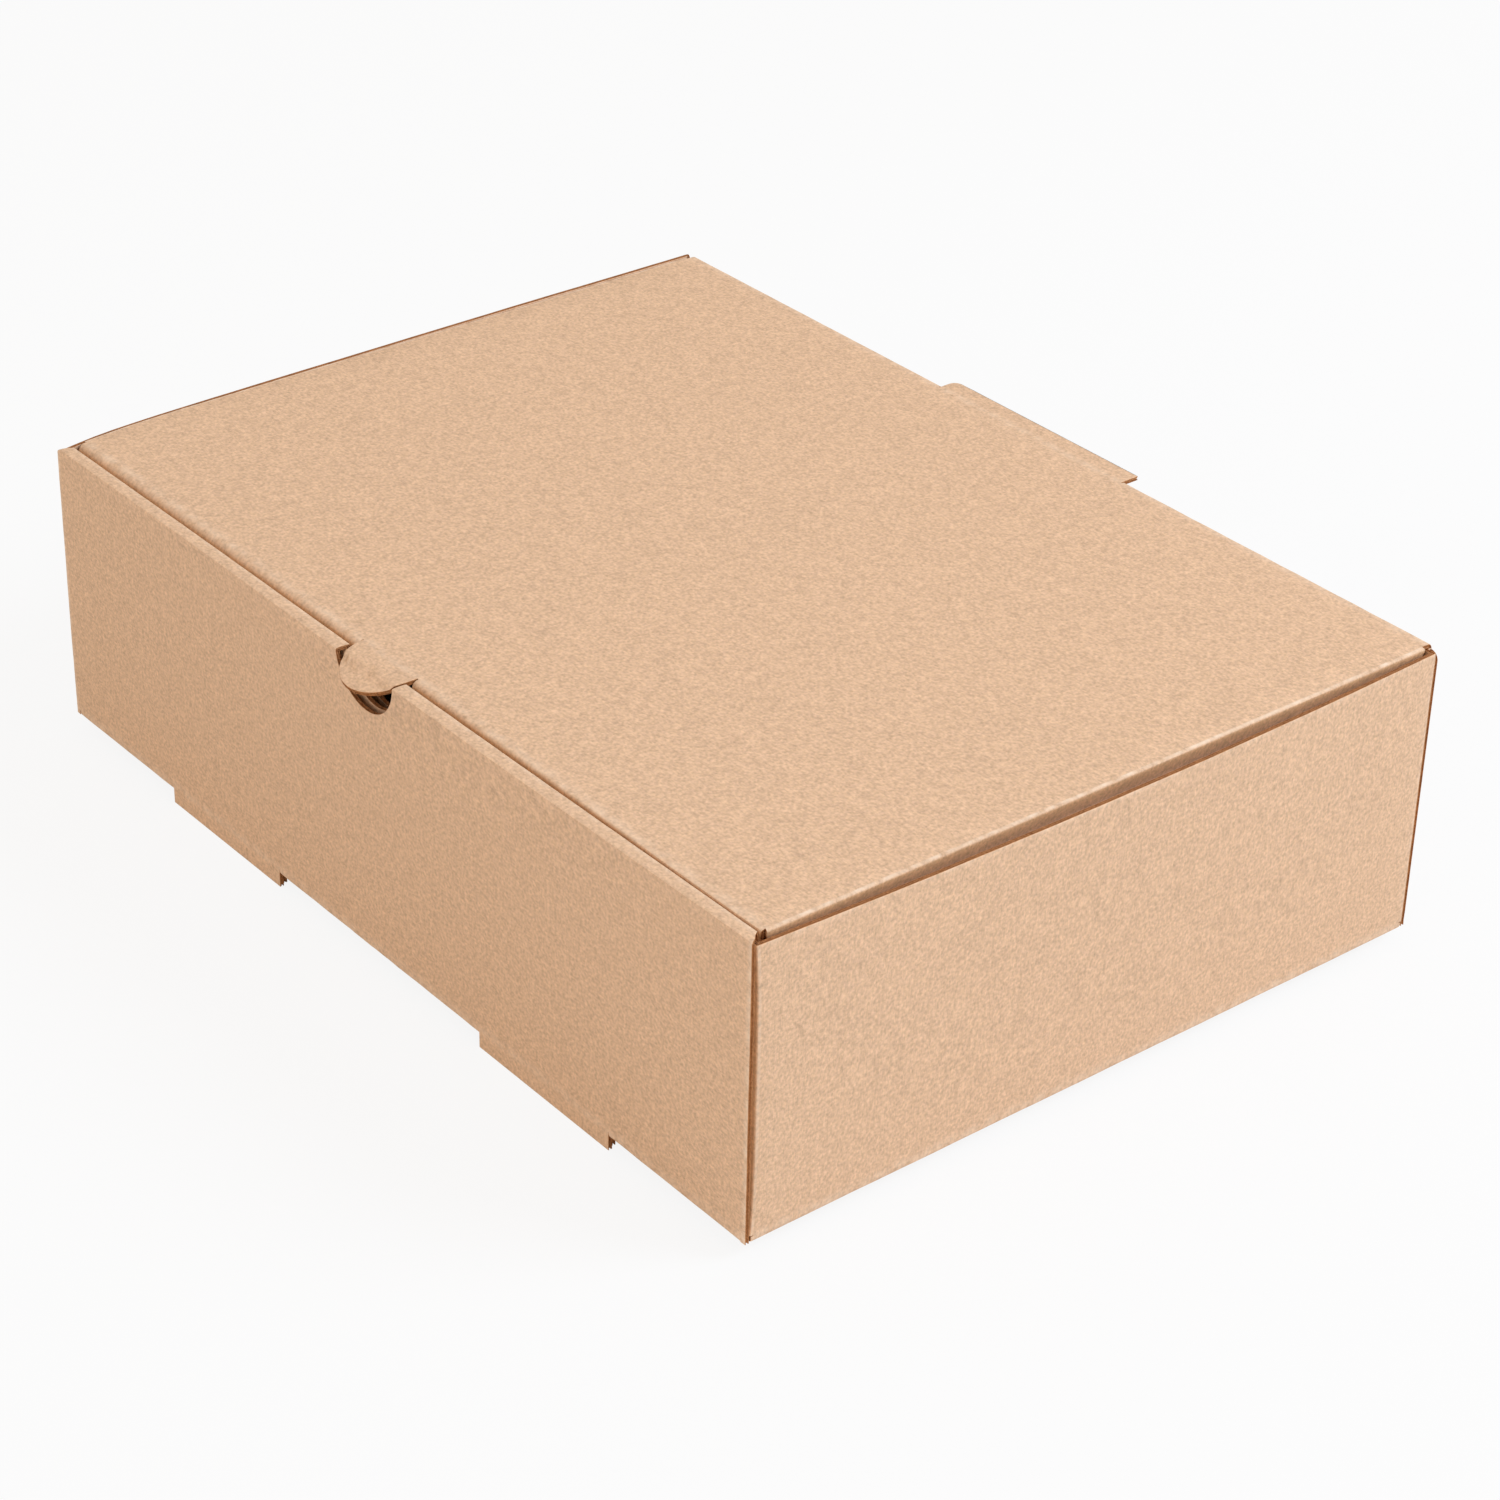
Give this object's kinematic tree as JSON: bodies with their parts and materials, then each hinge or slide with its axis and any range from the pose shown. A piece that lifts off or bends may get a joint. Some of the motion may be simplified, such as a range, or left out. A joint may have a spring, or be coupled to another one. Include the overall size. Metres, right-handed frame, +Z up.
{
  "type": "flat shipping box",
  "caption": "Flat rectangular mailer box of brown corrugated board, closed, with a hinged tuck-in lid, rolled front wall, thumb notch and locking feet.",
  "frame": {"origin": "middle of the whole closed box's footprint, tabs included, at the height of the feet's undersides", "axes": "+X along the box's long side, +Y from the front wall with the thumb notch to the lid's crease, +Z up"},
  "size_m": [0.368, 0.2772, 0.1048],
  "materials": {
    "board": "matt uncoated kraft liner"
  },
  "bodies": {
    "tray": {"tray": "board"},
    "lid": {"lid": "board"}
  },
  "joints": [
    {"name": "lid_hinge", "type": "hinge", "parent": "tray", "child": "lid", "pos_m": [0, 0.1332, 0.10265], "axis": [-1, 0, 0], "range_deg": [0, 180]}
  ]
}
